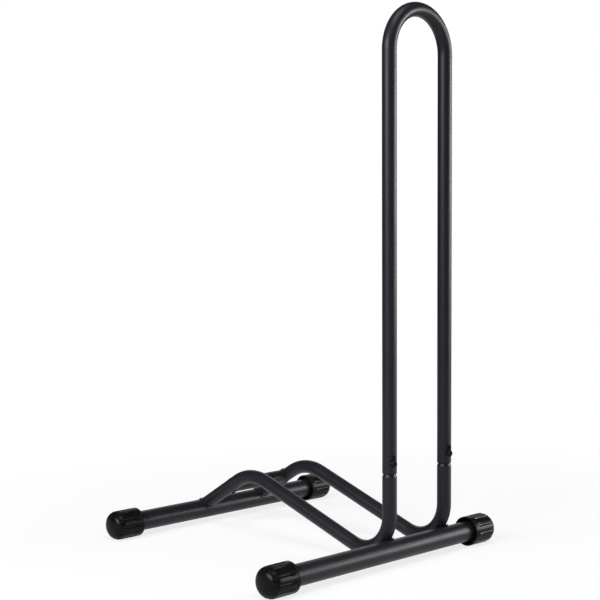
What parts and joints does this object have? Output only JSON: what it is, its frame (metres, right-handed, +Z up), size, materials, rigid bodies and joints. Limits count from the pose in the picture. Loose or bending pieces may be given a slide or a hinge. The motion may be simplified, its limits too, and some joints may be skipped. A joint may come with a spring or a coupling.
{
  "type": "floor bike rack",
  "caption": "Floor rack for a bicycle wheel: bent tube rails between capped cross tubes, with a tall tubular hoop that lifts off.",
  "frame": {"origin": "on the floor under the front cross tube's centreline, midway between the two rails", "axes": "+X along the cross tubes to the right, +Y from the hoop end to the rear cross tube, +Z up"},
  "size_m": [0.4054, 0.3451, 0.61],
  "materials": {
    "frame_powder_coat": "satin fine-texture charcoal powder coat",
    "cap_plastic": "satin black moulded plastic",
    "screw_plastic": "satin black moulded plastic",
    "black_zinc": "black zinc-plated steel",
    "bright_zinc": "zinc-plated steel"
  },
  "bodies": {
    "frame": {"front_cross_tube": "frame_powder_coat", "rear_cross_tube": "frame_powder_coat", "left_rail": "frame_powder_coat", "right_rail": "frame_powder_coat", "rail_crossbar": "frame_powder_coat", "front_left_end_cap": "cap_plastic", "front_right_end_cap": "cap_plastic", "rear_left_end_cap": "cap_plastic", "rear_right_end_cap": "cap_plastic", "front_left_weld": "frame_powder_coat", "front_right_weld": "frame_powder_coat", "rear_left_weld": "frame_powder_coat", "rear_right_weld": "frame_powder_coat", "crossbar_left_weld": "frame_powder_coat", "crossbar_right_weld": "frame_powder_coat"},
    "upper_hoop": {"hoop": "frame_powder_coat", "left_weld_nut": "black_zinc", "right_weld_nut": "black_zinc"},
    "left_thumb_screw": {"left_screw_stud": "bright_zinc", "left_screw_head": "screw_plastic"},
    "right_thumb_screw": {"right_screw_stud": "bright_zinc", "right_screw_head": "screw_plastic"}
  },
  "joints": [
    {"name": "hoop_lift", "type": "slide", "parent": "frame", "child": "upper_hoop", "axis": [0, 0, 1], "range_m": [0, 0.045]},
    {"name": "left_screw_turn", "type": "hinge", "parent": "upper_hoop", "child": "left_thumb_screw", "pos_m": [-0.046, 0.0035, 0.1126], "axis": [-0.3746, -0.9272, 0], "continuous": true},
    {"name": "right_screw_turn", "type": "hinge", "parent": "upper_hoop", "child": "right_thumb_screw", "pos_m": [0.046, 0.0035, 0.1126], "axis": [-0.2756, -0.9613, 0], "continuous": true}
  ]
}
